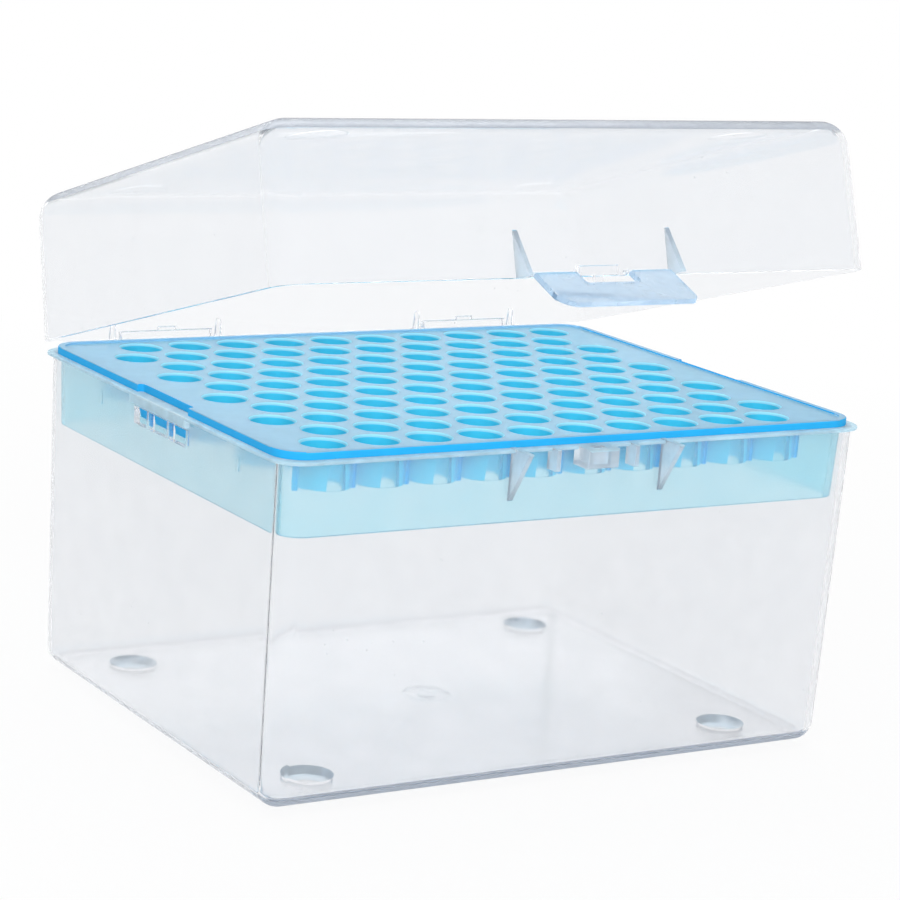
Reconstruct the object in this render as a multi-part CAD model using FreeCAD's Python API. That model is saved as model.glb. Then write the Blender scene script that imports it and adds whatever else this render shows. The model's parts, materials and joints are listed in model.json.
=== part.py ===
import FreeCAD, Part
import math
import os
from FreeCAD import Vector

# Hinged box for 1000 microlitre pipette tips, with its rack of a hundred holes and the lid ajar.
# Box, lid and latch are one shot of clear polypropylene, joined by film hinges; they are parted
# here only along those films. The blue rack drops in from above.
# Millimetres. The origin is the middle of the footprint, on the plane of the feet.
# +X runs along the hinge, +Y points to the hinge side, +Z is up.

# Tip holes
PITCH = 10.5                   # between neighbouring holes, in a row and across rows
ROWS = 10
HOLES_PER_ROW = 10
HOLE_D = 8.0
HOLE_SIDES = 10                # each round hole is a prism of this many sides
COLLAR_D = 10.2
COLLAR_SIDES = 6

# Box shell; half sizes are (x, y)
RIM_Z = 63.5
UNDERSIDE_Z = 1.2
FLOOR_Z = 3.0
BOX_RIM = (61.05, 48.35)
BOX_UNDERSIDE = (59.9, 47.2)
CAVITY_RIM = (59.85, 47.15)
CAVITY_FLOOR = (58.7, 46.0)
BOX_R = 4.0                    # upright corners and bottom edge alike
BOX_WALL = 1.2
FLANGE = (62.3, 49.7)
FLANGE_CORNER_R = 5.6
FLANGE_Z = 62.1

# Feet, each a cup in the floor, and the gate marks
FOOT_PLACE = (45.2, 34.6)
FOOT_R = 4.5
CUP_RIM_R = 5.0
CUP_FLOOR_R = 3.15
CUP_FLOOR_Z = 0.8
GATE_R = 4.6
GATE_PIP_R = 1.7
GATE_DEPTH = 0.35

# Film hinge at the back
HINGE_Y = 52.1
HINGE_Z = 63.4
HINGE_BEAD_R = 0.3
LEAF_X = (24.7, 44.5)
LEAF_END_Y = 51.7
BACK_GUSSETS_X = (23.1, 46.2)
GUSSET_T = 1.1
LID_AJAR = 16.6                # degrees

# Lid, in its closed place
LID_RIM_Z = 63.6
LID_TOP_Z = 91.95
LID_RIM = (62.5, 50.0)
LID_TOP = (62.0, 49.45)
LID_WALL = 1.1
LID_R = 5.3                    # upright corners and top edge alike
SOCKET_R = 5.5
SOCKET_DEPTH = 0.5

# Latch flap, with its film line in the closed lid's place
FLAP_Y = -51.8
FLAP_Z = 63.85
FLAP_HALF_X = 14.2
FLAP_BEAD_R = 0.22
FLAP_FOLD = 37.4               # degrees below the lid's rim plane
FLAP_WINDOW_HALF_X = 5.8
FLAP_WINDOW_END = 4.2
FLAP_CREASE = 5.8
FLAP_LIP = 4.7
FLAP_LIP_FLARE = 16.6          # degrees
FLAP_OUTER = 0.85
FLAP_INNER = -0.4

# Rack
PLATE = (60.9, 47.9)
PLATE_CORNER_R = 5.5
PLATE_TOP_Z = 64.7
BORDER_W = 1.4
BORDER_H = 0.3
SKIRT_TOP = (59.5, 46.6)
SKIRT_BOTTOM = (58.95, 46.2)
SKIRT_BOTTOM_Z = 49.5
SKIRT_T = 1.2
SKIRT_CORNER_R = 4.0
COLLAR_BOTTOM_Z = 58.2

# Snap windows in both end walls of the box, a little nearer the front: centre and half width in y
SNAP_WINDOWS = ((-8.4, 3.3), (-0.5, 3.6), (6.6, 2.6))
WINDOW_Z = (57.4, 60.6)
BUMP_PLAY = 0.4                # between a snap bump and the sides of its window
PAD_Y = (-13.0, 9.4)           # thickened rim above the windows
NOTCH_Y = (-12.0, 8.5)         # finger notch in each end of the rack's plate
GUIDE_RIBS_Y = (-30.0, 25.0)


def block(x, y, z):
    """Box between three pairs of limits."""
    return Part.makeBox(x[1] - x[0], y[1] - y[0], z[1] - z[0], Vector(x[0], y[0], z[0]))


def edges_at(solid, z):
    """Edges that lie in one level plane."""
    return [e for e in solid.Edges if all(abs(v.Z - z) < 0.001 for v in e.Vertexes)]


def tapered_block(low, high, z_low, z_high, corner_r, round_z=None):
    """Block centred on the z axis, with leaning walls and rounded upright corners.

    The edge in the plane round_z is rounded too, by the same radius, into ball corners.
    """
    wedge = Part.makeWedge(-low[0], z_low, -low[1], -high[1], -high[0],
                           low[0], z_high, low[1], high[1], high[0])
    wedge.rotate(Vector(0, 0, 0), Vector(1, 0, 0), 90)
    level = edges_at(wedge, z_low) + edges_at(wedge, z_high)
    rounded = [e for e in wedge.Edges if not any(e.isSame(other) for other in level)]
    if round_z is not None:
        rounded += edges_at(wedge, round_z)
    return wedge.makeFillet(corner_r, rounded)


def between(low, high, z_low, z_high, z):
    """Half size of a tapered block at one height."""
    t = (z - z_low) / (z_high - z_low)
    return low[0] + t * (high[0] - low[0]), low[1] + t * (high[1] - low[1])


def plate_along_x(outline, x_low, x_high):
    """Solid with one outline in y and z, from x_low to x_high."""
    points = [Vector(x_low, y, z) for y, z in outline]
    return Part.Face(Part.makePolygon(points + points[:1])).extrude(Vector(x_high - x_low, 0, 0))


def both_sides(shapes):
    """The shapes and their mirror images across the middle plane x = 0."""
    return shapes + [s.mirror(Vector(0, 0, 0), Vector(1, 0, 0)) for s in shapes]


def turned(solid, axis_y, axis_z, degrees):
    """The solid turned about a line along x; a positive angle lowers its front."""
    result = solid.copy()
    result.rotate(Vector(0, axis_y, axis_z), Vector(1, 0, 0), degrees)
    return result


def gusset(x_mid, wall_top_y, wall_tip_y, edge_y, z_edge, z_tip, blunt):
    """Triangular stiffener that stands on a wall and meets its leaf or flange at z_edge."""
    toward = math.copysign(blunt, z_tip - z_edge)
    outline = [(wall_top_y, z_edge), (edge_y, z_edge), (edge_y, z_edge + toward), (wall_tip_y, z_tip)]
    return plate_along_x(outline, x_mid - GUSSET_T / 2, x_mid + GUSSET_T / 2)


def at_feet(make):
    """One shape above each of the four feet."""
    x, y = FOOT_PLACE
    return [make(Vector(sx * x, sy * y, 0)) for sx in (-1, 1) for sy in (-1, 1)]


def gate_mark(z_face, inward):
    """Dished ring left round the injection point; inward is +1 when the material is above."""
    dish = Part.makeCylinder(GATE_R, GATE_DEPTH, Vector(0, 0, z_face), Vector(0, 0, inward))
    pip = Part.makeCylinder(GATE_PIP_R, GATE_DEPTH, Vector(0, 0, z_face), Vector(0, 0, inward))
    return dish.cut(pip)


def box_wall(z):
    """Outer half size of the box at one height."""
    return between(BOX_UNDERSIDE, BOX_RIM, UNDERSIDE_Z, RIM_Z, z)


def lid_wall(z):
    """Outer half size of the closed lid at one height."""
    return between(LID_RIM, LID_TOP, LID_RIM_Z, LID_TOP_Z, z)


def catch():
    """Hollow block that the latch snaps under, with an open slot for the lid's locating peg."""
    root_y = -box_wall(60.0)[1] + 0.6
    solid = block((-3.3, 3.3), (-53.1, root_y), (59.8, 63.3))
    lead_in = [e for e in solid.Edges if all(abs(v.Y + 53.1) < 0.001 for v in e.Vertexes)
               and abs(e.Vertexes[0].X - e.Vertexes[-1].X) > 1]
    slot = block((-1.3, 1.3), (-51.6, -49.9), (60.5, 64.0))
    return solid.makeFillet(0.6, lead_in).cut(slot)


def box_front():
    """Catch, guide fins and gussets below the latch."""
    embed = 0.6
    top_y = -box_wall(63.4)[1] + embed
    fin = plate_along_x([(top_y, 63.4), (-51.3, 63.4), (-51.3, 59.5), (top_y, 59.2)], 7.85, 8.85)
    wing = gusset(16.0, top_y, -box_wall(53.8)[1] + embed, -54.2, 63.4, 53.8, 0.8)
    return [catch()] + both_sides([fin, wing])


def box_back():
    """Hinge leaves, each thinned to a bead on the hinge axis, between two gussets."""
    embed = 0.6
    wall_y = box_wall(63.4)[1] - embed
    profile = [(wall_y, 62.4), (51.2, 62.4), (HINGE_Y, HINGE_Z - HINGE_BEAD_R),
               (HINGE_Y, HINGE_Z), (wall_y, HINGE_Z)]
    leaf = plate_along_x(profile, *LEAF_X)
    bead = Part.makeCylinder(HINGE_BEAD_R, LEAF_X[1] - LEAF_X[0],
                             Vector(LEAF_X[0], HINGE_Y, HINGE_Z), Vector(1, 0, 0))
    ribs = [gusset(x, wall_y, box_wall(57.4)[1] - embed, LEAF_END_Y, HINGE_Z, 57.4, 1.0)
            for x in BACK_GUSSETS_X]
    return both_sides([leaf, bead] + ribs)


def foot(centre):
    """Round stub under the floor."""
    return Part.makeCylinder(FOOT_R, UNDERSIDE_Z + 0.5, centre)


def foot_cup(centre):
    """Tapered cup that hollows a foot from above."""
    return Part.makeCone(CUP_FLOOR_R, CUP_RIM_R, FLOOR_Z - CUP_FLOOR_Z, centre + Vector(0, 0, CUP_FLOOR_Z))


def base_box():
    """Open box with its rim flange, feet, snap windows and the fixed halves of hinge and latch."""
    shell = tapered_block(BOX_UNDERSIDE, BOX_RIM, UNDERSIDE_Z, RIM_Z, BOX_R, UNDERSIDE_Z)
    flange = tapered_block(FLANGE, FLANGE, FLANGE_Z, RIM_Z, FLANGE_CORNER_R)
    pads = both_sides([block((60.6, 62.1), PAD_Y, (61.3, 63.4))])
    solid = shell.multiFuse([flange] + pads + box_front() + box_back() + at_feet(foot))

    cavity = tapered_block(CAVITY_FLOOR, CAVITY_RIM, FLOOR_Z, RIM_Z, BOX_R - BOX_WALL, FLOOR_Z)
    windows = both_sides([block((58.0, 64.0), (mid - half, mid + half), WINDOW_Z)
                          for mid, half in SNAP_WINDOWS])
    cut = [cavity, gate_mark(UNDERSIDE_Z, 1)] + windows + at_feet(foot_cup)
    return solid.cut(Part.makeCompound(cut)).removeSplitter()


def lid_front():
    """Locating peg under its ledge, the two ledges that carry the latch film, and the gussets."""
    embed = 0.4
    wall_y = -lid_wall(LID_RIM_Z)[1] + embed
    ledge = block((-4.2, 4.2), (-51.1, wall_y), (LID_RIM_Z, 64.3))
    peg = block((-0.85, 0.85), (-51.0, -50.1), (61.0, 64.0))
    film_ledge = block((FLAP_WINDOW_HALF_X, FLAP_HALF_X), (-51.5, wall_y), (LID_RIM_Z, 64.4))
    wing = gusset(16.1, wall_y, -lid_wall(72.0)[1] + embed, -54.2, LID_RIM_Z, 72.0, 0.8)
    return [ledge, peg] + both_sides([film_ledge, wing])


def lid_back():
    """Moving hinge leaves with their middle rib, between two gussets."""
    embed = 0.4
    wall_y = lid_wall(LID_RIM_Z)[1] - embed
    leaf = block(LEAF_X, (wall_y, LEAF_END_Y), (HINGE_Z + 0.1, 65.2))
    middle = sum(LEAF_X) / 2
    rib = block((middle - 1.9, middle + 1.9), (wall_y, LEAF_END_Y - 0.9), (HINGE_Z + 0.1, 65.9))
    ribs = [gusset(x, wall_y, lid_wall(67.2)[1] - embed, LEAF_END_Y, HINGE_Z + 0.1, 67.2, 0.8)
            for x in BACK_GUSSETS_X]
    return both_sides([leaf, rib] + ribs)


def lid_closed():
    """Shallow cover with rounded top edges and four shallow sockets for the feet of a box above."""
    shell = tapered_block(LID_RIM, LID_TOP, LID_RIM_Z, LID_TOP_Z, LID_R, LID_TOP_Z)
    solid = shell.multiFuse(lid_front() + lid_back())

    hollow_rim = [half - LID_WALL for half in LID_RIM]
    hollow_top = [half - LID_WALL for half in LID_TOP]
    ceiling_z = LID_TOP_Z - LID_WALL
    hollow = tapered_block(hollow_rim, hollow_top, LID_RIM_Z, ceiling_z, LID_R - LID_WALL, ceiling_z)
    sockets = at_feet(lambda centre: Part.makeCylinder(
        SOCKET_R, SOCKET_DEPTH, centre + Vector(0, 0, LID_TOP_Z - SOCKET_DEPTH)))
    cut = [hollow, gate_mark(LID_TOP_Z, -1)] + sockets
    return solid.cut(Part.makeCompound(cut)).removeSplitter()


def latch_closed():
    """Flap lying in the lid's rim plane: film bead, two arms round a window, crossbar and lip."""
    flare = math.radians(FLAP_LIP_FLARE)
    run, rise = FLAP_LIP * math.cos(flare), FLAP_LIP * math.sin(flare)
    tip = 0.15
    side = [(0.0, 0.18), (0.6, 0.18), (1.2, FLAP_OUTER), (FLAP_CREASE, FLAP_OUTER),
            (FLAP_CREASE + run, FLAP_OUTER + rise - tip), (FLAP_CREASE + run, FLAP_INNER + rise + tip),
            (FLAP_CREASE, FLAP_INNER), (1.2, FLAP_INNER), (0.6, -0.18), (0.0, -0.18)]
    outline = [(FLAP_Y - out, FLAP_Z + up) for out, up in side]
    solid = plate_along_x(outline, -FLAP_HALF_X, FLAP_HALF_X)
    crease_y = FLAP_Y - FLAP_CREASE
    bends = [e for e in solid.Edges if all(abs(v.Y - crease_y) < 0.001 for v in e.Vertexes)
             and abs(e.Vertexes[0].X - e.Vertexes[-1].X) > 1]
    solid = solid.makeFillet(3.0, bends)
    end_y = FLAP_Y - FLAP_CREASE - run
    corners = [e for e in solid.Edges if all(abs(v.Y - end_y) < 0.001 for v in e.Vertexes)
               and abs(e.Vertexes[0].X - e.Vertexes[-1].X) < 0.001]
    solid = solid.makeFillet(1.5, corners)
    bead = Part.makeCylinder(FLAP_BEAD_R, 2 * FLAP_HALF_X,
                             Vector(-FLAP_HALF_X, FLAP_Y, FLAP_Z), Vector(1, 0, 0))
    window = block((-FLAP_WINDOW_HALF_X, FLAP_WINDOW_HALF_X),
                   (FLAP_Y - FLAP_WINDOW_END, FLAP_Y + 1), (FLAP_Z - 3, FLAP_Z + 3))
    return solid.fuse(bead).cut(window).removeSplitter()


def hole_centres():
    """Rows from back to front, every second one set half a pitch aside."""
    row_step = PITCH * math.sqrt(3) / 2
    left = -(HOLES_PER_ROW - 0.5) / 2 * PITCH
    for row in range(ROWS):
        shift = PITCH / 2 if row % 2 == 0 else 0
        for place in range(HOLES_PER_ROW):
            yield Vector(left + shift + place * PITCH, ((ROWS - 1) / 2 - row) * row_step, 0)


def prism(centre, diameter, sides, z_low, z_high):
    """Upright prism of the same section area as a round bar."""
    turn = 2 * math.pi / sides
    reach = diameter / 2 * math.sqrt(turn / math.sin(turn))
    corners = [centre + Vector(reach * math.cos(turn * i), reach * math.sin(turn * i), z_low)
               for i in (step + 0.5 for step in range(sides + 1))]
    return Part.Face(Part.makePolygon(corners)).extrude(Vector(0, 0, z_high - z_low))


def skirt():
    """Leaning wall under the plate; on its two ends snap bumps, each with a leg, and short guide ribs."""
    outer = tapered_block(SKIRT_BOTTOM, SKIRT_TOP, SKIRT_BOTTOM_Z, RIM_Z, SKIRT_CORNER_R)
    inner_low = [half - SKIRT_T for half in SKIRT_BOTTOM]
    inner_high = [half - SKIRT_T for half in SKIRT_TOP]
    inner = tapered_block(inner_low, inner_high, SKIRT_BOTTOM_Z, RIM_Z, SKIRT_CORNER_R - SKIRT_T)
    root_x = SKIRT_BOTTOM[0] - 0.3
    bumps = []
    for mid, half in SNAP_WINDOWS:
        front = mid - half + BUMP_PLAY
        ramp = [Vector(root_x, front, 58.5), Vector(60.0, front, 58.8),
                Vector(60.2, front, 60.3), Vector(root_x, front, 60.3)]
        bump = Part.Face(Part.makePolygon(ramp + ramp[:1])).extrude(Vector(0, 2 * (half - BUMP_PLAY), 0))
        leg = block((root_x, 59.9), (front, front + 0.9), (57.7, 58.9))
        bumps += [bump, leg]
    ribs = [block((root_x, 59.5), (y - 0.5, y + 0.5), (57.5, 60.0)) for y in GUIDE_RIBS_Y]
    return outer.cut(inner).multiFuse(both_sides(bumps + ribs))


def tip_rack():
    """Plate of a hundred collared holes on a skirt that drops inside the box."""
    plate = tapered_block(PLATE, PLATE, RIM_Z, PLATE_TOP_Z, PLATE_CORNER_R)
    inside = [half - BORDER_W for half in PLATE]
    dish = tapered_block(inside, inside, PLATE_TOP_Z - BORDER_H, PLATE_TOP_Z, PLATE_CORNER_R - BORDER_W)
    notches = both_sides([block((PLATE[0] - 1.2, PLATE[0] + 1), NOTCH_Y, (RIM_Z - 1, PLATE_TOP_Z + 1))])
    centres = list(hole_centres())
    collars = [prism(c, COLLAR_D, COLLAR_SIDES, COLLAR_BOTTOM_Z, RIM_Z) for c in centres]
    holes = [prism(c, HOLE_D, HOLE_SIDES, COLLAR_BOTTOM_Z - 1, PLATE_TOP_Z + 1) for c in centres]
    solid = plate.multiFuse([skirt()] + collars)
    return solid.cut(Part.makeCompound([dish] + notches + holes)).removeSplitter()


def main():
    os.makedirs("parts", exist_ok=True)
    latch = turned(latch_closed(), FLAP_Y, FLAP_Z, FLAP_FOLD)
    nodes = {
        "base_box": base_box(),
        "tip_rack": tip_rack(),
        "lid": turned(lid_closed(), HINGE_Y, HINGE_Z, -LID_AJAR),
        "latch_flap": turned(latch, HINGE_Y, HINGE_Z, -LID_AJAR),
    }
    for name, shape in nodes.items():
        shape.exportStep("parts/" + name + ".step")
        print(name, len(shape.Solids), "solid", shape.isValid(), round(shape.Volume), "mm3")


main()
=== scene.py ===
import json
import math

import bpy
from mathutils import Matrix, Vector


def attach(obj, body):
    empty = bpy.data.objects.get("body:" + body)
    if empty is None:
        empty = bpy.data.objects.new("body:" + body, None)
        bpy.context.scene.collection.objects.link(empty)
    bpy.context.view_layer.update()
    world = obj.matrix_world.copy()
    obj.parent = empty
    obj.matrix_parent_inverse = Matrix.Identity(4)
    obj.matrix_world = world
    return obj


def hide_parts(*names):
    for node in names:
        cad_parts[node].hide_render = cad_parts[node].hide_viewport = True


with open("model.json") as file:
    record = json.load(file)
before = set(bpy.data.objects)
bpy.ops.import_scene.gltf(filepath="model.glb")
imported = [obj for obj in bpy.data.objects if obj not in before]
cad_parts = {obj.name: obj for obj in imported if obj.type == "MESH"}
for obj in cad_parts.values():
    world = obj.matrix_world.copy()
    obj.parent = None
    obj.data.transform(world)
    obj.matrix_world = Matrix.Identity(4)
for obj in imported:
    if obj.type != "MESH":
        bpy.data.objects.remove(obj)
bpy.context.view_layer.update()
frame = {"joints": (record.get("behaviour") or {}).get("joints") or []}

# ---- Clear polypropylene ---------------------------------------------------------------------
# The shot that box, lid and latch share: clear with a faint milkiness and a blue-grey cast that
# shows in thick places, slightly rippled by the mould, frosted on small fittings, a little dusty.

refraction = 1.49


class Value:
    """A shader socket that takes part in sums as a number does."""

    def __init__(self, look, socket):
        self.look = look
        self.socket = socket

    def maths(self, operation, first, second):
        return self.look.add("ShaderNodeMath", {"operation": operation}, {0: first, 1: second})

    def __add__(self, other):
        return self.maths("ADD", self, other)

    def __sub__(self, other):
        return self.maths("SUBTRACT", self, other)

    def __rsub__(self, other):
        return self.maths("SUBTRACT", other, self)

    def __mul__(self, other):
        return self.maths("MULTIPLY", self, other)

    def __truediv__(self, other):
        return self.maths("DIVIDE", self, other)

    def __lt__(self, other):
        return self.maths("LESS_THAN", self, other)

    def __gt__(self, other):
        return self.maths("GREATER_THAN", self, other)

    def up_to(self, other):
        return self.maths("MINIMUM", self, other)

    __radd__ = __add__
    __rmul__ = __mul__


class Look:
    """The nodes of a material or a world, and the one way that they are added."""

    def __init__(self, owner):
        self.owner = owner
        owner.use_nodes = True
        self.tree = owner.node_tree
        self.tree.nodes.clear()

    def add(self, kind, settings=None, values=None, output=0):
        """A new node with its inputs wired or set. A colour is red, green and blue, and opaque."""
        node = self.tree.nodes.new(kind)
        for key, setting in (settings or {}).items():
            setattr(node, key, setting)
        for key, value in (values or {}).items():
            if isinstance(value, Value):
                self.tree.links.new(value.socket, node.inputs[key])
            elif isinstance(value, tuple):
                node.inputs[key].default_value = (*value, 1)
            else:
                node.inputs[key].default_value = value
        return Value(self, node.outputs[output]) if len(node.outputs) else None

    def place(self):
        """Where a point is on the object, in metres."""
        return self.add("ShaderNodeTexCoord", output="Object")

    def along(self, axis):
        """One coordinate of that place: X, Y or Z."""
        return self.add("ShaderNodeSeparateXYZ", values={"Vector": self.place()}, output=axis)

    def ray(self, question):
        """What is asked about the ray that is being followed."""
        return self.add("ShaderNodeLightPath", output=question)

    def noise(self, scale, detail=2.0, roughness=0.5):
        """Cloudy noise with features about 1/scale metres wide."""
        values = {"Vector": self.place(), "Scale": scale, "Detail": detail, "Roughness": roughness}
        return self.add("ShaderNodeTexNoise", values=values)

    def bump(self, strength, distance, height):
        """A surface that dips and swells with a height."""
        values = {"Strength": strength, "Distance": distance, "Height": height}
        return self.add("ShaderNodeBump", values=values)

    def clear(self, tint, roughness, bump):
        """Tinted, refracting plastic."""
        return self.add("ShaderNodeBsdfPrincipled", values={
            "Base Color": tint, "Roughness": roughness, "IOR": refraction,
            "Transmission Weight": 1.0, "Normal": bump})

    def cloud(self, colour, glow_share):
        """Plain scattering, with a share of it coming out on the far side."""
        near_side = self.add("ShaderNodeBsdfDiffuse", values={"Color": colour})
        far_side = self.add("ShaderNodeBsdfTranslucent", values={"Color": colour})
        return self.mixed(glow_share, near_side, far_side)

    def depth(self, colour, density):
        """The colour that light takes on its way through the plastic."""
        return self.add("ShaderNodeVolumeAbsorption", values={"Color": colour, "Density": density})

    def mixed(self, share, first, second):
        """One shader with a share of another."""
        return self.add("ShaderNodeMixShader", values={0: share, 1: first, 2: second})

    def let_lamps_through(self, surface, passed, bounces):
        """The same surface, but lamp rays pass it, tinted, and so do rays that have bounced for long."""
        spent = self.ray("Ray Depth") > bounces
        tired = self.mixed(spent, surface, self.add("ShaderNodeBsdfTransparent"))
        open_way = self.add("ShaderNodeBsdfTransparent", values={"Color": passed})
        return self.mixed(self.ray("Is Shadow Ray"), tired, open_way)

    def end(self, surface, volume=None):
        """Wires the finished shaders to the output and gives back the material or world."""
        is_world = isinstance(self.owner, bpy.types.World)
        values = {"Surface": surface}
        if volume is not None:
            values["Volume"] = volume
        self.add("ShaderNodeOutputWorld" if is_world else "ShaderNodeOutputMaterial", values=values)
        return self.owner


def dust(look, per_metre):
    """1 on sparse specks and 0 between them."""
    speck_size, bare_part = 0.06, 0.62
    cell = look.add("ShaderNodeTexVoronoi", values={"Vector": look.place(), "Scale": per_metre})
    return (cell < speck_size) * (look.noise(per_metre * 0.11, 1.0) > bare_part)


def clear_plastic(name, tint, haze, share, roughness, passed, bounces=5.0):
    """Glossy clear plastic with a share of milky haze and a little dust."""
    look = Look(bpy.data.materials.new(name))
    broad, fine = look.noise(38.0, 1.0), look.noise(700.0, 1.0)
    bump = look.bump(0.015, 0.0003, broad * 0.97 + fine * 0.03)
    smear = look.noise(120.0, 3.0, 0.65)
    body = look.clear(tint, smear * 0.06 + (roughness - 0.03), bump)
    hazy = look.mixed(smear * share + share * 0.5, body, look.cloud(haze, 0.4))
    speck = look.add("ShaderNodeBsdfDiffuse", values={"Color": (0.50, 0.53, 0.57)})
    dusty = look.mixed(dust(look, 420.0) * 0.5, hazy, speck)
    depth = look.depth((0.17, 0.35, 0.54), 10.0)
    return look.end(look.let_lamps_through(dusty, passed, bounces), depth)


shell_plastic = clear_plastic(
    "clear polypropylene", tint=(0.965, 0.967, 0.974), haze=(0.84, 0.85, 0.88),
    share=0.08, roughness=0.05, passed=(0.94, 0.945, 0.96))
lid_plastic = clear_plastic(
    "thin clear polypropylene", tint=(0.965, 0.969, 0.978), haze=(0.84, 0.85, 0.88),
    share=0.045, roughness=0.05, passed=(0.95, 0.96, 0.97))
small_plastic = clear_plastic(
    "polypropylene of the fittings", tint=(0.92, 0.96, 0.99), haze=(0.80, 0.91, 0.99),
    share=0.46, roughness=0.25, passed=(0.92, 0.95, 0.98), bounces=1.5)
rim_plastic = clear_plastic(
    "polypropylene of the rim", tint=(0.90, 0.97, 1.0), haze=(0.68, 0.91, 1.0),
    share=0.66, roughness=0.25, passed=(0.95, 0.97, 0.99), bounces=1.5)
# Painted shade: the floor slab gets a darker, greyer tint and haze than the walls, taking back the light
# its haze catches from above.
floor_plastic_painted_darker = clear_plastic(
    "polypropylene of the floor, painted darker", tint=(0.84, 0.84, 0.855), haze=(0.60, 0.61, 0.64),
    share=0.08, roughness=0.14, passed=(0.90, 0.91, 0.93))
# Painted shade: a grey haze on the lid's rounded upper edge, only on the front and the left that face
# the lens, stands in for the darker look of clear plastic seen edge-on.
lid_edge_painted_grey = clear_plastic(
    "polypropylene painted grey where seen edge-on", tint=(0.90, 0.93, 0.96), haze=(0.64, 0.69, 0.77),
    share=0.45, roughness=0.25, passed=(0.90, 0.92, 0.95), bounces=3.0)
# Painted shade: a dense grey haze on the front wall's rounded lower edge, only at the front, stands in
# for the band that plastic seen edge-on shows there.
lower_edge_painted_grey = clear_plastic(
    "polypropylene of the lower edge, painted grey", tint=(0.88, 0.91, 0.95), haze=(0.68, 0.74, 0.83),
    share=0.85, roughness=0.25, passed=(0.90, 0.92, 0.95), bounces=3.0)
# Painted shade: a dark haze along the inside foot of the front wall draws the dark line where wall and
# floor meet.
wall_foot_painted_dark = clear_plastic(
    "polypropylene painted dark where wall and floor meet", tint=(0.80, 0.86, 0.92), haze=(0.36, 0.45, 0.56),
    share=0.45, roughness=0.20, passed=(0.90, 0.92, 0.95), bounces=3.0)
cup_plastic = clear_plastic(
    "polypropylene of the cups", tint=(0.93, 0.97, 0.99), haze=(0.72, 0.88, 0.98),
    share=0.40, roughness=0.20, passed=(0.93, 0.95, 0.97), bounces=3.0)

# ---- The box ---------------------------------------------------------------------------------
# An open tub with leaning walls. It was moulded mouth down round a core: upright corners and
# bottom edge are rounded, the mouth ends in a thin flange, and four hollow feet stand below.

mouth_z = 0.0633
underside_z = 0.0012
floor_z = 0.0030
foot_x, foot_y = 0.0452, 0.0346
gate_radius, pip_radius = 0.0046, 0.0017
wing_root_y, wing_edge_y = 0.0477, 0.0517
back_wing_x = (0.0231, 0.0462)
leaf_left, leaf_right = 0.0247, 0.0445
snap_windows = ((-0.0084, 0.0033), (-0.0005, 0.0036), (0.0066, 0.0026))


def four(x, y):
    """The same place in each quarter of the box."""
    return [(across * x, along * y) for across in (-1, 1) for along in (-1, 1)]


def alone(piece):
    """Makes a piece the active one and selects nothing else."""
    bpy.ops.object.select_all(action="DESELECT")
    piece.select_set(True)
    bpy.context.view_layer.objects.active = piece


def block(name, low, high):
    """A new block between two corners, alone in the selection."""
    bpy.ops.object.select_all(action="DESELECT")
    centre = [(a + b) / 2 for a, b in zip(low, high)]
    size = [b - a for a, b in zip(low, high)]
    bpy.ops.mesh.primitive_cube_add(size=1, location=centre, scale=size)
    piece = bpy.context.object
    piece.name = name
    bpy.ops.object.transform_apply(location=True, rotation=False, scale=True)
    return piece


def tube(name, radius, low_z, high_z, x=0.0, y=0.0, sides=48):
    """A new upright cylinder, alone in the selection."""
    bpy.ops.object.select_all(action="DESELECT")
    bpy.ops.mesh.primitive_cylinder_add(vertices=sides, radius=radius, depth=high_z - low_z,
                                        location=(x, y, (low_z + high_z) / 2))
    piece = bpy.context.object
    piece.name = name
    bpy.ops.object.transform_apply(location=True, rotation=False, scale=True)
    return piece


def every(test):
    """The same test put to all of a list of corners."""
    return lambda corners: all(test(corner) for corner in corners)


def edit(piece, mode, passes):
    """Goes into edit mode with only the edges or faces selected whose corners, as a list, pass."""
    bpy.context.view_layer.objects.active = piece
    bpy.ops.object.mode_set(mode="EDIT")
    bpy.ops.mesh.select_mode(type=mode)
    bpy.ops.mesh.select_all(action="DESELECT")
    bpy.ops.object.mode_set(mode="OBJECT")
    points = piece.data.vertices
    parts = piece.data.edges if mode == "EDGE" else piece.data.polygons
    for part in parts:
        part.select = passes([points[i].co for i in part.vertices])
    bpy.ops.object.mode_set(mode="EDIT")


def round_passing(piece, passes, radius, segments):
    """Rounds the edges whose pairs of ends pass."""
    edit(piece, "EDGE", passes)
    bpy.ops.mesh.bevel(offset=radius, segments=segments, affect="EDGES")
    bpy.ops.object.mode_set(mode="OBJECT")


def round_edges(piece, test, radius, segments):
    """Rounds the edges whose two ends pass a test."""
    round_passing(piece, every(test), radius, segments)


def steep(ends):
    """Whether an edge runs up and down rather than level."""
    first, second = ends
    return abs(first.z - second.z) > 0.3 * (first - second).length


def round_uprights(piece, radius, segments=12):
    """Rounds the edges of a block that run up and down."""
    round_passing(piece, steep, radius, segments)


def squeeze(piece, test, x, y, about=(0, 0, 0)):
    """Scales the faces that pass a test in x and y."""
    edit(piece, "FACE", every(test))
    bpy.ops.transform.resize(value=(x, y, 1), center_override=about)
    bpy.ops.object.mode_set(mode="OBJECT")


def slide(piece, test, by):
    """Moves the edges that pass a test."""
    edit(piece, "EDGE", every(test))
    bpy.ops.transform.translate(value=by)
    bpy.ops.object.mode_set(mode="OBJECT")


def join(pieces, name):
    """One object from several."""
    bpy.ops.object.select_all(action="DESELECT")
    for piece in pieces:
        piece.select_set(True)
    bpy.context.view_layer.objects.active = pieces[0]
    bpy.ops.object.join()
    pieces[0].name = name
    return pieces[0]


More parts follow.
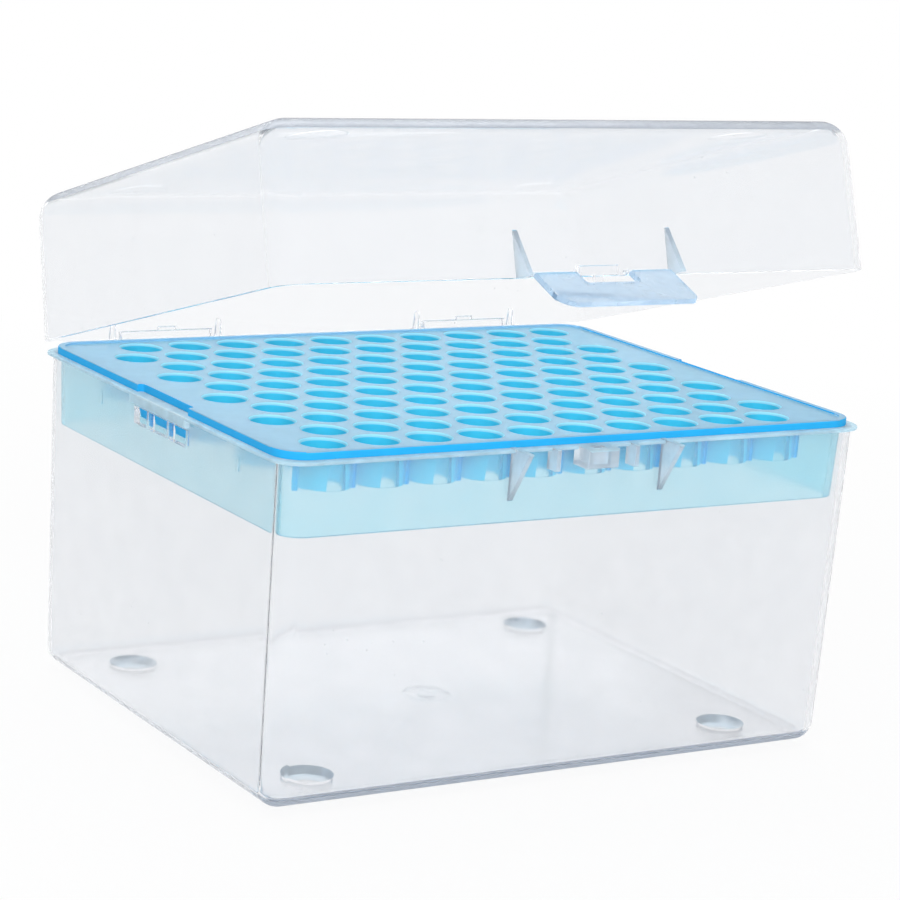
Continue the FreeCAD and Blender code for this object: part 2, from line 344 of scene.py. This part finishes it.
def modify(piece, kind, **settings):
    """Gives a piece a modifier with these settings and applies it."""
    alone(piece)
    modifier = piece.modifiers.new(kind, kind)
    for key, setting in settings.items():
        setattr(modifier, key, setting)
    bpy.ops.object.modifier_apply(modifier=modifier.name)


def mirrored(piece):
    """The piece and its mirror image across the middle plane, as one object."""
    modify(piece, "MIRROR", use_mirror_merge=False)
    return piece


def combine(piece, tool, operation):
    """Adds the tool to the piece, or cuts it out, and drops the tool."""
    modify(piece, "BOOLEAN", operation=operation, solver="EXACT", object=tool)
    bpy.data.objects.remove(tool)


def polish(piece):
    """Smooth shading on the rounds, with the flats kept flat."""
    alone(piece)
    bpy.ops.object.shade_smooth_by_angle(angle=math.radians(30))
    modify(piece, "WEIGHTED_NORMAL", keep_sharp=True, weight=90)


def dress(piece, plain, others):
    """Plain plastic all over, and on a face that passes a test the plastic of that test."""
    piece.data.materials.clear()
    for plastic in [plain] + [plastic for plastic, test in others]:
        piece.data.materials.append(plastic)
    for face in piece.data.polygons:
        passed = [i + 1 for i, (plastic, test) in enumerate(others) if test(face.center, face.normal)]
        face.material_index = passed[0] if passed else 0


def gusset(name, x, root_y, edge_y, level_z, tip_z, root_tip_y):
    """A thin triangular stiffener: full width at level_z, ending on the wall at tip_z."""
    half_thick, sunk, close = 0.00055, 0.0006, 1e-5
    low = (x - half_thick, min(root_y, edge_y), min(level_z, tip_z))
    high = (x + half_thick, max(root_y, edge_y), max(level_z, tip_z))
    rib = block(name, low, high)
    slide(rib, lambda p: abs(p.y - edge_y) < close and abs(p.z - tip_z) < close,
          (0, root_tip_y - edge_y, 0))
    slide(rib, lambda p: abs(p.y - root_y) < close and abs(p.z - tip_z) < close,
          (0, math.copysign(sunk, root_y - edge_y), 0))
    round_edges(rib, lambda p: abs(p.y - edge_y) < 1e-4 or abs(p.z - tip_z) < close, 0.00022, 2)
    return rib


tub = block("box_shell", (-0.06104, -0.04834, underside_z), (0.06104, 0.04834, mouth_z - 0.0003))
squeeze(tub, lambda p: p.z < 0.002, 0.0599 / 0.06104, 0.0472 / 0.04834)
round_uprights(tub, 0.0040)
round_edges(tub, lambda p: p.z < 0.0013, 0.0038, 8)

flange = block("flange", (-0.0623, -0.0497, 0.0627), (0.0623, 0.0497, mouth_z))
round_uprights(flange, 0.0056)
round_edges(flange, lambda p: True, 0.00025, 2)
combine(tub, flange, "UNION")

catch = block("catch", (-0.0033, -0.0531, 0.0598), (0.0033, -wing_root_y, mouth_z))
round_edges(catch, lambda p: p.y < -0.0530, 0.0004, 3)
fin = block("fin", (0.00785, -0.0513, 0.0593), (0.00885, -wing_root_y, mouth_z))
round_edges(fin, lambda p: p.y < -0.0512, 0.0002, 2)
front_wing = gusset("wing", 0.0160, -wing_root_y, -0.0542, 0.0634, 0.0538, -0.0483)
back_wings = [gusset("wing", x, wing_root_y, wing_edge_y, 0.0634, 0.0574, 0.0484)
              for x in back_wing_x]
leaf = block("leaf", (leaf_left, 0.0478, 0.0624), (leaf_right, 0.0520, 0.0634))
slide(leaf, lambda p: p.y > 0.0519 and p.z < 0.0625, (0, 0, 0.0006))
round_edges(leaf, lambda p: p.y > 0.0519, 0.00015, 2)
pad = block("pad", (0.0606, -0.0130, 0.0613), (0.0621, 0.0094, 0.0632))
round_edges(pad, lambda p: p.x > 0.0620, 0.00025, 2)
sided = mirrored(join([fin, front_wing, leaf, pad] + back_wings, "sided"))
combine(tub, join([sided, catch], "fittings"), "UNION")

feet = [tube("foot", 0.0045, 0.0, 0.0017, x, y) for x, y in four(foot_x, foot_y)]
for foot in feet:
    round_edges(foot, lambda p: p.z < 1e-5, 0.0005, 3)
combine(tub, join(feet, "feet"), "UNION")

cavity = block("cavity", (-0.05986, -0.04716, floor_z), (0.05986, 0.04716, 0.0640))
squeeze(cavity, lambda p: p.z < 0.004, 0.0587 / 0.05986, 0.0460 / 0.04716)
round_uprights(cavity, 0.0028)
round_edges(cavity, lambda p: p.z < floor_z + 0.0001, 0.0012, 4)
combine(tub, cavity, "DIFFERENCE")

cups = []
for x, y in four(foot_x, foot_y):
    cup = tube("cup", 0.0050, 0.0008, 0.0036, x, y)
    squeeze(cup, lambda p: p.z < 0.001, 0.62, 0.62, (x, y, 0))
    round_edges(cup, lambda p: p.z < 0.001, 0.0006, 3)
    cups.append(cup)
windows = [block("window", (0.0575, y - half, 0.0574), (0.0645, y + half, 0.0606))
           for y, half in snap_windows]
slot = block("slot", (-0.0013, -0.0516, 0.0605), (0.0013, -0.0499, 0.0645))
gate_ring = tube("gate", gate_radius, 0.0008, 0.0018)
gate_pip = tube("pip", pip_radius, 0.0007, 0.0022)
combine(gate_ring, gate_pip, "DIFFERENCE")
cutters = join(cups + [mirrored(join(windows, "windows")), slot, gate_ring], "cutters")
combine(tub, cutters, "DIFFERENCE")
tub.name = "box_shell"


def on_the_flange(p, n):
    """Whether a face is part of the flange or of the pads under it."""
    return p.z > 0.0624 or (p.z > 0.0612 and abs(p.x) > 0.0612)


def on_the_front_fittings(p, n):
    """Whether a face is part of the catch or of the fins and gussets beside it."""
    return p.z > 0.053 and p.y < -0.0486 and abs(p.x) < 0.020


def on_a_cup(p, n):
    """Whether a face is part of the wall of a foot, its cup or the gate mark."""
    by_a_foot = math.hypot(abs(p.x) - foot_x, abs(p.y) - foot_y) < 0.0058
    by_the_gate = math.hypot(p.x, p.y) < 0.0055
    return 0.0007 < p.z < 0.0031 and abs(n.z) < 0.97 and (by_a_foot or by_the_gate)


def on_the_inner_line(p, n):
    """Whether a face is part of the foot of the front wall, inside."""
    return 0.00301 < p.z < 0.0034 and -0.0465 < p.y < -0.0440 and n.z > 0.05


def on_the_lower_edge(p, n):
    """Whether a face is part of the front wall's rounded lower edge, outside."""
    return p.z < 0.0032 and p.y < -0.0440 and n.z < 0.1


def on_the_floor(p, n):
    """Whether a face is part of the floor, above or below."""
    return p.z < 0.0031 and abs(n.z) > 0.9


dress(tub, shell_plastic, (
    (rim_plastic, on_the_flange),
    (small_plastic, on_the_front_fittings),
    (cup_plastic, on_a_cup),
    (wall_foot_painted_dark, on_the_inner_line),
    (lower_edge_painted_grey, on_the_lower_edge),
    (floor_plastic_painted_darker, on_the_floor)))
polish(tub)
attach(tub, "box")
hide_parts("base_box")

# ---- The lid ---------------------------------------------------------------------------------
# A shallow cover of the same shot, thinner than the box, with rounded upper edges. It is made
# here as it sits when shut, then swung open about the film hinge to where it was left.

hinges = {joint["name"]: joint for joint in frame["joints"]}
hinge_line = Vector(hinges["lid_hinge"]["pos_m"])
ajar = math.radians(-hinges["lid_hinge"]["range_deg"][0])
lid_rim_z = 0.0636
lid_top_z = 0.09195
lid_wall_y = 0.0495
lid_leaf_z = 0.0635
hollow_top_z = 0.09085


def swung(piece, line, angle):
    """Turns a finished piece about a line along x; a positive angle lowers its front."""
    turned = Matrix.Translation(line) @ Matrix.Rotation(angle, 4, "X") @ Matrix.Translation(-line)
    piece.matrix_world = turned @ piece.matrix_world
    alone(piece)
    bpy.ops.object.transform_apply(location=True, rotation=True, scale=True)


cover = block("lid_shell", (-0.0625, -0.0500, lid_rim_z), (0.0625, 0.0500, lid_top_z))
squeeze(cover, lambda p: p.z > lid_top_z - 0.001, 0.0620 / 0.0625, 0.04945 / 0.0500)
round_uprights(cover, 0.0053)
round_edges(cover, lambda p: p.z > lid_top_z - 1e-5, 0.00522, 10)
round_edges(cover, lambda p: p.z < lid_rim_z + 1e-5, 0.00015, 2)

ledge = block("ledge", (-0.0042, -0.0511, lid_rim_z), (0.0042, -lid_wall_y, 0.0654))
round_edges(ledge, lambda p: p.y < -0.0510, 0.0002, 2)
peg = block("peg", (-0.00085, -0.0510, 0.0610), (0.00085, -0.0501, 0.0640))
round_edges(peg, lambda p: p.z < 0.0611, 0.0002, 2)
film_ledge = block("film_ledge", (0.0058, -0.0515, lid_rim_z), (0.0142, -lid_wall_y, 0.0644))
round_edges(film_ledge, lambda p: p.y < -0.0514, 0.0002, 2)
lid_wing = gusset("wing", 0.0161, -lid_wall_y, -0.0542, lid_rim_z, 0.0720, -0.0499)
lid_leaf = block("leaf", (leaf_left, lid_wall_y, lid_leaf_z), (leaf_right, 0.0517, 0.0652))
round_edges(lid_leaf, lambda p: p.y > 0.0516, 0.0003, 2)
leaf_rib = block("rib", (0.0327, lid_wall_y, lid_leaf_z), (0.0365, 0.0508, 0.0659))
round_edges(leaf_rib, lambda p: p.y > 0.0507, 0.0003, 2)
hind_wings = [gusset("wing", x, lid_wall_y, wing_edge_y, lid_leaf_z, 0.0672, 0.0500)
              for x in back_wing_x]
combine(lid_leaf, leaf_rib, "UNION")
lid_sided = mirrored(join([film_ledge, lid_wing, lid_leaf] + hind_wings, "sided"))
combine(ledge, peg, "UNION")
combine(cover, join([lid_sided, ledge], "fittings"), "UNION")

hollow = block("hollow", (-0.0614, -0.0489, 0.0628), (0.0614, 0.0489, hollow_top_z))
squeeze(hollow, lambda p: p.z > 0.0908, 0.0609 / 0.0614, 0.04835 / 0.0489)
round_uprights(hollow, 0.0042)
round_edges(hollow, lambda p: p.z > 0.0908, 0.0040, 10)
combine(cover, hollow, "DIFFERENCE")

sockets = []
for x, y in four(0.0450, foot_y):
    socket = tube("dish", 0.0055, lid_top_z - 0.0005, lid_top_z + 0.0010, x, y)
    round_edges(socket, lambda p: p.z < lid_top_z - 0.0004, 0.00035, 3)
    sockets.append(socket)
lid_gate = tube("gate", gate_radius, lid_top_z - 0.00035, lid_top_z + 0.0008)
lid_pip = tube("pip", pip_radius, lid_top_z - 0.0010, lid_top_z + 0.0012)
combine(lid_gate, lid_pip, "DIFFERENCE")
combine(cover, join(sockets + [lid_gate], "cutters"), "DIFFERENCE")
cover.name = "lid_shell"


def on_the_lid_gussets(p, n):
    """Whether a face is part of the lid's two front gussets."""
    return p.z < 0.075 and p.y < -0.0501 and abs(p.x) > 0.0150


# The grey that these faces get is painted shade.
def on_the_upper_edge(p, n):
    """Whether a face is part of the lid's rounded upper edge, at the front or the left."""
    sloping = p.z > lid_top_z - 0.0050 and 0.62 < n.z < 0.999
    return sloping and (p.y < -0.0440 or (p.x < -0.0565 and p.y < 0.0420))


dress(cover, lid_plastic, ((small_plastic, on_the_lid_gussets), (lid_edge_painted_grey, on_the_upper_edge)))
swung(cover, hinge_line, -ajar)
polish(cover)
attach(cover, "cover")
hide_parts("lid")

# ---- The latch flap --------------------------------------------------------------------------
# Two arms and a crossbar round a window, with a thumb lip that flares up. A film along the roots
# of the arms joins it to the lid, and it was left bent a third of the way down.

flap_plastic = clear_plastic(
    "thick blue-grey polypropylene", tint=(0.86, 0.94, 0.98), haze=(0.60, 0.76, 0.92),
    share=0.30, roughness=0.15, passed=(0.88, 0.91, 0.94))
film_line = Vector((0, -0.0518, 0.06385))
fold = math.radians(-hinges["latch_fold"]["range_deg"][0])
flap_half_width = 0.0142
crossbar_y = -0.0576


def grow(piece, test, steps):
    """Extrudes the faces that pass a test, step by step, each step with a scale for its end."""
    edit(piece, "FACE", every(test))
    for by, scale in steps:
        bpy.ops.mesh.extrude_region_move(TRANSFORM_OT_translate={"value": by})
        if scale:
            bpy.ops.transform.resize(value=scale)
    bpy.ops.object.mode_set(mode="OBJECT")


flap = block("latch_plate", (-flap_half_width, crossbar_y, 0.06345), (flap_half_width, -0.0524, 0.0647))
grow(flap, lambda p: p.y < crossbar_y + 0.0001, [((0, -0.0048, 0.0001), (1, 1, 0.78))])
for side, radius in ((-1, 0.0040), (1, 0.0014)):
    round_edges(flap, lambda p: p.x * side > flap_half_width - 0.0001 and p.y < -0.0620, radius, 8)
grow(flap, lambda p: p.y > -0.0525, [((0, 0.0006, -0.00022), (1, 1, 0.30))])
round_edges(flap, lambda p: abs(p.y - crossbar_y) < 1e-5, 0.0022, 6)
opening = block("opening", (-0.0058, -0.0560, 0.0600), (0.0058, -0.0500, 0.0680))
round_edges(opening, lambda p: p.y < -0.0559, 0.0006, 3)
combine(flap, opening, "DIFFERENCE")
modify(flap, "BEVEL", width=0.00022, segments=3, limit_method="ANGLE", angle_limit=math.radians(40))

flap.data.materials.clear()
flap.data.materials.append(flap_plastic)
swung(flap, film_line, fold)
swung(flap, hinge_line, -ajar)
polish(flap)
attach(flap, "latch")
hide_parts("latch_flap")

# ---- The tip rack ----------------------------------------------------------------------------
# One blue moulding: a plate of a hundred holes, each with a collar below, on a skirt that drops
# inside the box. The dye is light, so thin walls are pale and whatever is seen end-on is deep;
# that depth, and the shade in the holes and round the collars, are painted as deeper copies of
# the one plastic, and the plate's top and the hole mouths get paler copies as painted sheen.

tip_pitch = 0.0105
row_step = tip_pitch * math.sqrt(3) / 2
first_x, first_y = -4.25 * tip_pitch, 4.5 * row_step
rows, places = 10, 10
plate_low_z, plate_top_z, recess_z = 0.0633, 0.0647, 0.0644
skirt_low_z, collar_low_z = 0.0495, 0.0572
collar_radius, hole_radius = 0.0047, 0.0039


def blue_plastic(name, tint, cloud, share, glow, roughness):
    """Dyed plastic that deepens with the way light takes through it, and has some cloud in it."""
    look = Look(bpy.data.materials.new(name))
    broad, fine = look.noise(60.0, 1.0), look.noise(1400.0, 2.0)
    bump = look.bump(0.08, 0.0005, broad * 0.8 + fine * 0.2)
    smear = look.noise(150.0, 3.0, 0.65)
    clear = look.clear(tint, smear * 0.08 + (roughness - 0.04), bump)
    surface = look.mixed(smear * 0.15 + (share - 0.075), clear, look.cloud(cloud, glow))
    depth = look.depth((0.10, 0.85, 0.98), 120.0)
    return look.end(look.let_lamps_through(surface, passed=(0.95, 0.99, 1.0), bounces=7.0), depth)


skirt_plastic = blue_plastic(
    "pale blue polypropylene", tint=(0.88, 0.985, 1.0), cloud=(0.24, 0.86, 1.0),
    share=0.17, glow=0.4, roughness=0.20)
# Painted shade: the collars' thin outer walls get a deep, nearly opaque blue, standing in for their look
# in the shade under the plate, seen through the skirt.
collar_painted_deep = blue_plastic(
    "blue polypropylene of the collars, painted deep", tint=(0.72, 0.96, 1.0), cloud=(0.09, 0.79, 1.0),
    share=0.85, glow=0.05, roughness=0.20)
# The plate's top is a paler, milkier blue than the skirt: partly the thin dye, partly a painted sheen of
# the light from above.
plate_with_painted_sheen = blue_plastic(
    "blue polypropylene of the plate, with painted sheen", tint=(0.90, 0.98, 1.0), cloud=(0.43, 0.82, 0.98),
    share=0.50, glow=0.2, roughness=0.15)
# Painted highlight: the flare at each hole's mouth is a pale, nearly opaque blue that draws the bright
# ring that light makes there.
hole_mouth_painted_pale = blue_plastic(
    "blue polypropylene painted pale round the holes", tint=(0.93, 0.98, 1.0), cloud=(0.38, 0.85, 1.0),
    share=0.90, glow=0.1, roughness=0.15)
# Painted shade: the walls inside the holes get a deep, cloudy blue that stands in for the shade and the
# coloured light bouncing inside them.
hole_wall_painted_deep = blue_plastic(
    "blue polypropylene painted deep in the holes", tint=(0.50, 0.92, 1.0), cloud=(0.09, 0.77, 1.0),
    share=0.92, glow=0.25, roughness=0.20)
# Painted shade: the plate's outer edge, its notches and the snap bumps get a deep blue that stands in
# for light taking a long way through the plastic and for the shade under the flange.
edge_on_painted_deep = blue_plastic(
    "blue polypropylene painted deep where seen edge-on", tint=(0.20, 0.70, 1.0), cloud=(0.03, 0.50, 0.95),
    share=0.80, glow=0.1, roughness=0.20)
# Painted shade: the webs behind the skirt's front get the deepest blue, drawing the dark bands seen
# through the skirt.
web_painted_deep = blue_plastic(
    "blue polypropylene of the webs, painted deep", tint=(0.10, 0.75, 1.0), cloud=(0.0, 0.72, 1.0),
    share=0.92, glow=0.3, roughness=0.20)


def repeated(piece, count, step):
    """The piece as many times, each a step further."""
    modify(piece, "ARRAY", count=count, use_relative_offset=False, use_constant_offset=True,
           constant_offset_displace=step)
    return piece


def hundredfold(piece):
    """Ten staggered rows of ten, from the piece made at the left end of the back row."""
    repeated(piece, places, (tip_pitch, 0, 0))
    bpy.ops.object.duplicate()
    second = bpy.context.object
    bpy.ops.transform.translate(value=(-tip_pitch / 2, -row_step, 0))
    bpy.ops.object.transform_apply(location=True, rotation=False, scale=False)
    return repeated(join([piece, second], piece.name), rows // 2, (0, -2 * row_step, 0))


rack = block("rack", (-0.0609, -0.0479, plate_low_z), (0.0609, 0.0479, plate_top_z))
round_uprights(rack, 0.0055)
round_edges(rack, lambda p: p.z > plate_top_z - 0.0001, 0.0003, 3)
skirt = block("skirt", (-0.0595, -0.0466, skirt_low_z), (0.0595, 0.0466, 0.0637))
squeeze(skirt, lambda p: p.z < 0.050, 0.05895 / 0.0595, 0.0462 / 0.0466)
round_uprights(skirt, 0.0040, 10)
inside = block("inside", (-0.0583, -0.0454, 0.0490), (0.0583, 0.0454, 0.0635))
squeeze(inside, lambda p: p.z < 0.050, 0.05775 / 0.0583, 0.0450 / 0.0454)
round_uprights(inside, 0.0028, 10)
combine(skirt, inside, "DIFFERENCE")
round_edges(skirt, lambda p: p.z < skirt_low_z + 0.0001, 0.0002, 2)
combine(rack, skirt, "UNION")

collar = tube("collar", collar_radius, collar_low_z, 0.0637, first_x, first_y, sides=32)
round_edges(collar, lambda p: p.z < collar_low_z + 0.0001, 0.0002, 2)
combine(rack, hundredfold(collar), "UNION")
clips = []
for y, half in snap_windows:
    front = y - half + 0.0004
    snap = block("bump", (0.0587, front, 0.0585), (0.0602, y + half - 0.0004, 0.0603))
    slide(snap, lambda p: p.x > 0.0601 and p.z < 0.0586, (-0.0005, 0, 0))
    leg = block("leg", (0.0587, front + 0.00001, 0.0577), (0.0599, front + 0.0009, 0.0589))
    combine(snap, leg, "UNION")
    clips.append(snap)
ticks = [block("tick", (0.0587, y - 0.0005, 0.0575), (0.0595, y + 0.0005, 0.0600))
         for y in (-0.0300, 0.0250)]
combine(rack, mirrored(join(clips + ticks, "clips")), "UNION")
first_web_x = first_x - tip_pitch * 1.5 + 0.0034
webs = [block("web", (x - 0.0004, -0.0456, 0.0576), (x + 0.0004, -0.0444, 0.0636))
        for x in [first_web_x + tip_pitch * place for place in range(places + 1)]]
combine(rack, join(webs, "webs"), "UNION")

recess = block("dish", (-0.0595, -0.0465, recess_z), (0.0595, 0.0465, 0.0660))
round_uprights(recess, 0.0041)
round_edges(recess, lambda p: p.z < recess_z + 0.0001, 0.0002, 2)
combine(rack, recess, "DIFFERENCE")
notch = block("notch", (0.0597, -0.0120, 0.0620), (0.0620, 0.0085, 0.0660))
round_edges(notch, lambda p: p.x < 0.0598, 0.0006, 3)
combine(rack, mirrored(notch), "DIFFERENCE")
hole = tube("hole", hole_radius, 0.0565, 0.0626, first_x, first_y, sides=32)
grow(hole, lambda p: p.z > 0.0625, [
    ((0, 0, 0.00135), None), ((0, 0, 0.00028), (1.03, 1.03, 1)),
    ((0, 0, 0.00017), (1.06, 1.06, 1)), ((0, 0, 0.0010), None)])
combine(rack, hundredfold(hole), "DIFFERENCE")
rack.name = "blue_rack"

centres = [(first_x + tip_pitch * (place - 0.5 * (row % 2)), first_y - row_step * row)
           for row in range(rows) for place in range(places)]


def from_a_hole(p):
    """How far a point is from the axis of the nearest hole."""
    return min(math.hypot(p.x - x, p.y - y) for x, y in centres)


def round_a_hole(p, n):
    """Whether a face is part of the flare at the mouth of a hole."""
    return p.z > 0.0640 and 0.05 < abs(n.z) < 0.97 and from_a_hole(p) < collar_radius + 0.0001


def in_a_hole(p, n):
    """Whether a face is part of the inner wall of a hole."""
    return p.z > 0.0627 and abs(n.z) < 0.8 and from_a_hole(p) < hole_radius + 0.00025


def on_the_plate_edge(p, n):
    """Whether a face is part of the plate's outer edge or of its notches."""
    notched = abs(p.x) > 0.0590 and abs(p.y) < 0.0130
    outward = p.x * n.x + p.y * n.y > 0.044
    return 0.06331 < p.z < 0.06466 and abs(n.z) < 0.8 and (notched or outward)


def on_a_web(p, n):
    """Whether a face is part of the webs between skirt and collars."""
    near = 0.0570 < p.z < 0.0636 and -0.0457 < p.y < -0.0437
    return near and (abs(n.x) > 0.97 or n.z < -0.9 or (n.y > 0.97 and p.y > -0.0446))


def on_a_clip(p, n):
    """Whether a face is part of the snap bumps at the ends."""
    return abs(p.x) > 0.0596 and p.z < 0.0610


def on_a_collar(p, n):
    """Whether a face is part of the outer wall of a collar."""
    near = abs(from_a_hole(p) - collar_radius) < 0.0003
    return 0.0573 < p.z < 0.0636 and abs(n.z) < 0.5 and near


def on_the_plate(p, n):
    """Whether a face is part of the plate, seen from above."""
    return p.z > 0.0638


dress(rack, skirt_plastic, (
    (hole_mouth_painted_pale, round_a_hole),
    (hole_wall_painted_deep, in_a_hole),
    (edge_on_painted_deep, on_the_plate_edge),
    (web_painted_deep, on_a_web),
    (edge_on_painted_deep, on_a_clip),
    (collar_painted_deep, on_a_collar),
    (plate_with_painted_sheen, on_the_plate)))
polish(rack)
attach(rack, "box")
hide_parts("tip_rack")

# ---- The studio ------------------------------------------------------------------------------
# A pale floor under soft light, and a camera a little above the rim.
# Lens rays find the floor and the air white; the floor still takes the box's shadow.

aim = Vector((-0.0002, -0.0028, 0.0517))
back = Vector((-0.52338, -0.82387, 0.21752))
distance = 0.5581
roll = math.radians(4.3)
camera_data = bpy.data.cameras.new("camera")
camera_data.lens = 117.67
camera = bpy.data.objects.new("camera", camera_data)
bpy.context.collection.objects.link(camera)
level = Vector((-back.y, back.x, 0)).normalized()
up = back.cross(level)
right = level * math.cos(roll) + up * math.sin(roll)
turn = Matrix((right, back.cross(right), back)).transposed().to_4x4()
camera.matrix_world = Matrix.Translation(aim + back * distance) @ turn
bpy.context.scene.camera = camera

bpy.ops.mesh.primitive_plane_add(size=6)
floor = bpy.context.object
floor.name = "floor"


def white_to_the_lens(look):
    """1 for lens rays and for rays that come off or through plastic, and 0 for light's own way."""
    questions = ("Is Camera Ray", "Is Glossy Ray", "Is Transmission Ray")
    lens, off, through = (look.ray(question) for question in questions)
    return (lens + off + through).up_to(1.0)


full_white = (1, 1, 1)
paper = Look(bpy.data.materials.new("white paper"))
matt = paper.add("ShaderNodeBsdfDiffuse", values={"Color": (0.9, 0.9, 0.9)})
lit = paper.add("ShaderNodeEmission", values={"Color": full_white, "Strength": 1.0})

# Under the box a tenth of what the lens sees is lit paper, so that its shadow shows; that part
# falls with the square of the distance, to none at shadow_end.
shadow_end = 0.4
lit_part = 0.1
away_squared = paper.along("X") * paper.along("X") + paper.along("Y") * paper.along("Y")
share = (away_squared / shadow_end ** 2 * lit_part + (1 - lit_part)).up_to(1.0)
floor.data.materials.append(paper.end(paper.mixed(white_to_the_lens(paper) * share, matt, lit)))

air = Look(bpy.data.worlds.new("studio"))
soft = air.add("ShaderNodeBackground", values={"Color": (0.95, 0.97, 1.0), "Strength": 0.4})
white = air.add("ShaderNodeBackground", values={"Color": full_white, "Strength": 1.0})
bpy.context.scene.world = air.end(air.mixed(white_to_the_lens(air), soft, white))

# The key and the fill stand on the lens's side. They only shed light: their own reflections
# would lie as pale squares over the clear walls.
lamps = (
    ("key", (-0.75, -0.65, 0.50), 1.0, 6.0, False),
    ("back", (0.2, 0.8, 0.7), 1.0, 3.0, True),
    ("top", (0.0, 0.0, 1.1), 1.2, 3.0, True),
    ("fill", (-0.10, -1.05, 0.30), 0.8, 6.0, False))
lit_point = Vector((0, 0, 0.05))
for name, place, size, power, mirrors in lamps:
    data = bpy.data.lights.new(name, "AREA")
    data.size = size
    data.energy = power
    lamp = bpy.data.objects.new(name, data)
    lamp.location = place
    lamp.visible_glossy = mirrors
    lamp.visible_transmission = mirrors
    lamp.rotation_euler = (lit_point - Vector(place)).to_track_quat("-Z", "Y").to_euler()
    bpy.context.collection.objects.link(lamp)

bpy.context.scene.cycles.transparent_max_bounces = 28
bpy.context.scene.view_settings.view_transform = "Standard"
